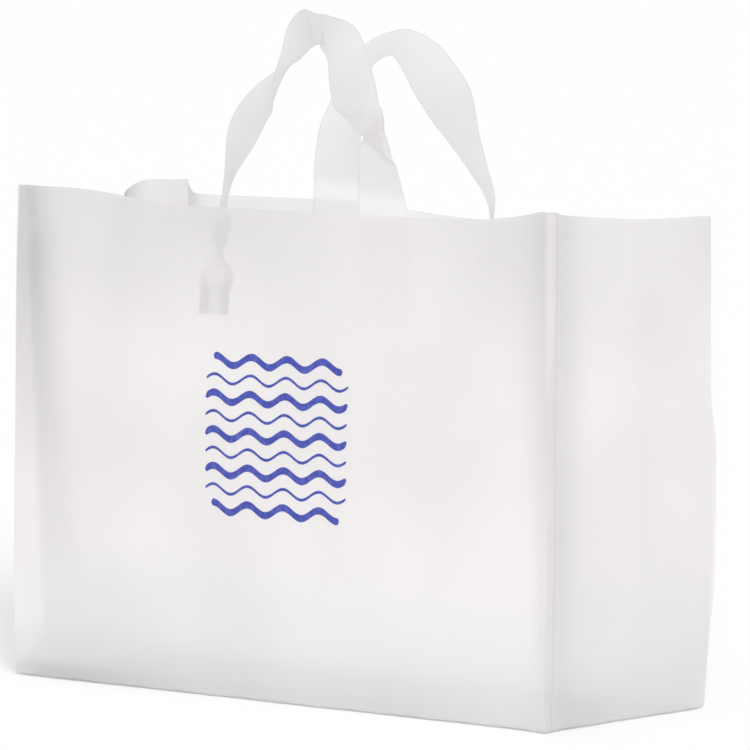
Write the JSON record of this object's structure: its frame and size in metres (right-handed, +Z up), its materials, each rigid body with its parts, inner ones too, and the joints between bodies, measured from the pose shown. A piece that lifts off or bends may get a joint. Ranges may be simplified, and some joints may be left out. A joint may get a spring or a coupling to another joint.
{
  "type": "plastic carrier bag",
  "caption": "Standing side-gusset shopping bag of frosted plastic film with a flat base and two soft ribbon handles welded inside its mouth.",
  "frame": {"origin": "middle of the whole bag's footprint, at the floor it stands on", "axes": "+Z up, +X to the right seen from the front, front panel towards -Y, short side of the bag along Y"},
  "size_m": [0.4167, 0.1744, 0.4185],
  "materials": {
    "frosted_film": "frosted translucent white polyethylene film, faint soft sheen",
    "handle_film": "frosted translucent white polyethylene ribbon, a little greyer than the walls where it doubles"
  },
  "bodies": {
    "root": {"bag_body": "frosted_film", "front_handle": "handle_film", "back_handle": "handle_film"}
  },
  "joints": []
}
